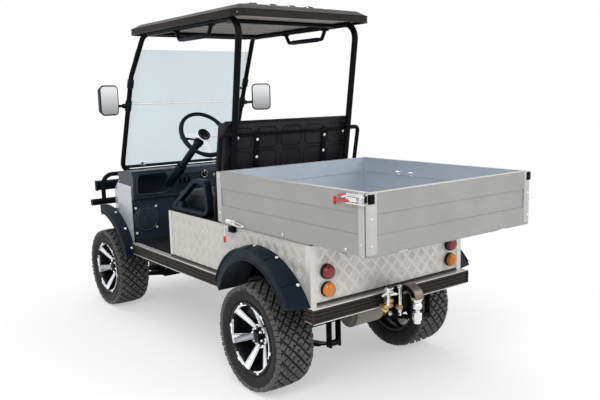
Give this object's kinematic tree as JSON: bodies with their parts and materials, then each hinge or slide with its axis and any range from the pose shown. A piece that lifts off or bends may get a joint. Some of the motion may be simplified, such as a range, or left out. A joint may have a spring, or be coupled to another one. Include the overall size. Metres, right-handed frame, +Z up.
{
  "type": "utility golf cart",
  "caption": "Utility golf cart with a roof, windshield, bench, treadplate body, tow ball, steered front wheels and a tipping aluminium bed with a drop tailgate.",
  "frame": {"origin": "on the ground under the middle of the overall box", "axes": "+X forward, +Y to the cart's left, +Z up"},
  "size_m": [3.22, 1.398, 2.066],
  "materials": {
    "black_frame": "satin black paint",
    "tread_plate": "bright five-bar tread plate",
    "aluminium": "satin anodised",
    "rub_rubber": "ribbed black strip",
    "black_plastic": "fine grain",
    "upholstery": "dark vinyl",
    "red_lens": "clear red lens",
    "amber_lens": "clear amber lens",
    "white_lens": "clear lens",
    "chrome_ball": "polished",
    "cast_grey": "cast",
    "silver_body": "silver paint",
    "clear_pane": "clear",
    "mirror_face": "mirror",
    "red_grip": "red grip",
    "rim_metal": "machined faces with black pockets",
    "tyre_rubber": "rubber",
    "battery_case": "case"
  },
  "bodies": {
    "chassis": {"chassis_frame": "black_frame", "floor_pan": "black_frame", "perimeter_channel": "aluminium", "rub_strips": "rub_rubber", "tread_panels": "tread_plate", "panel_trims": "aluminium", "body_deck": "black_frame", "battery_pack": "battery_case", "seat_cushion": "upholstery", "seat_backrest": "upholstery", "seat_frame": "black_frame", "arm_rests": "black_plastic", "rear_flares": "black_plastic", "tail_lamps": "red_lens", "indicator_lamps": "amber_lens", "tow_bracket": "black_frame", "tow_ball": "chrome_ball", "rear_axle": "black_frame", "drive_motor": "cast_grey", "leaf_springs": "black_frame", "front_suspension": "black_frame", "front_cowl": "silver_body", "front_flares": "black_plastic", "front_nose": "black_plastic", "headlamps": "white_lens", "brush_guard": "black_frame", "light_bar": "black_frame", "dashboard": "black_plastic", "pedals": "black_frame", "steering_column": "black_plastic", "roof_frame": "black_frame", "roof": "black_plastic", "windshield": "clear_pane", "mirror_housings": "black_plastic", "mirror_glass": "mirror_face"},
    "bed": {"bed_floor": "aluminium", "bed_boards": "aluminium", "bed_latches": "aluminium", "latch_grips": "red_grip"},
    "tailgate": {"tailgate": "aluminium"},
    "steering_wheel": {"steering_wheel": "black_plastic"},
    "knuckle_left": {"knuckle_left": "cast_grey"},
    "knuckle_right": {"knuckle_right": "cast_grey"},
    "tie_rod": {"tie_rod": "black_frame"},
    "wheel_rear_left": {"rim_rear_left": "rim_metal", "tyre_rear_left": "tyre_rubber"},
    "wheel_rear_right": {"rim_rear_right": "rim_metal", "tyre_rear_right": "tyre_rubber"},
    "wheel_front_left": {"rim_front_left": "rim_metal", "tyre_front_left": "tyre_rubber"},
    "wheel_front_right": {"rim_front_right": "rim_metal", "tyre_front_right": "tyre_rubber"}
  },
  "joints": [
    {"name": "steer_left", "type": "hinge", "parent": "chassis", "child": "knuckle_left", "pos_m": [1.26, 0.325, 0.286], "axis": [0, 0, 1], "range_deg": [-30, 30]},
    {"name": "steer_right", "type": "hinge", "parent": "chassis", "child": "knuckle_right", "pos_m": [1.26, -0.325, 0.286], "axis": [0, 0, 1], "range_deg": [-30, 30]},
    {"name": "tie_rod_slide", "type": "slide", "parent": "chassis", "child": "tie_rod", "axis": [0, 1, 0], "range_m": [-0.0525, 0.0525]},
    {"name": "steering_wheel_turn", "type": "hinge", "parent": "chassis", "child": "steering_wheel", "pos_m": [0.287, 0.24, 1.299], "axis": [-0.8192, 0, 0.5736], "range_deg": [-360, 360]},
    {"name": "wheel_spin_rear_left", "type": "hinge", "parent": "chassis", "child": "wheel_rear_left", "pos_m": [-0.75, 0.514, 0.286], "axis": [0, 1, 0], "continuous": true},
    {"name": "wheel_spin_rear_right", "type": "hinge", "parent": "chassis", "child": "wheel_rear_right", "pos_m": [-0.75, -0.514, 0.286], "axis": [0, 1, 0], "continuous": true},
    {"name": "wheel_spin_front_left", "type": "hinge", "parent": "knuckle_left", "child": "wheel_front_left", "pos_m": [1.26, 0.474, 0.286], "axis": [0, 1, 0], "continuous": true},
    {"name": "wheel_spin_front_right", "type": "hinge", "parent": "knuckle_right", "child": "wheel_front_right", "pos_m": [1.26, -0.474, 0.286], "axis": [0, 1, 0], "continuous": true},
    {"name": "bed_tilt", "type": "hinge", "parent": "chassis", "child": "bed", "pos_m": [-1.205, 0, 0.862], "axis": [0, -1, 0], "range_deg": [0, 45]},
    {"name": "tailgate_hinge", "type": "hinge", "parent": "bed", "child": "tailgate", "pos_m": [-1.5975, 0, 0.8665], "axis": [0, -1, 0], "range_deg": [0, 135]}
  ],
  "couplings": [
    {"joint": "steer_right", "follows": "steer_left", "ratio": 1},
    {"joint": "tie_rod_slide", "follows": "steer_left", "m_per_rad": -0.10027},
    {"joint": "steering_wheel_turn", "follows": "steer_left", "ratio": 12}
  ]
}
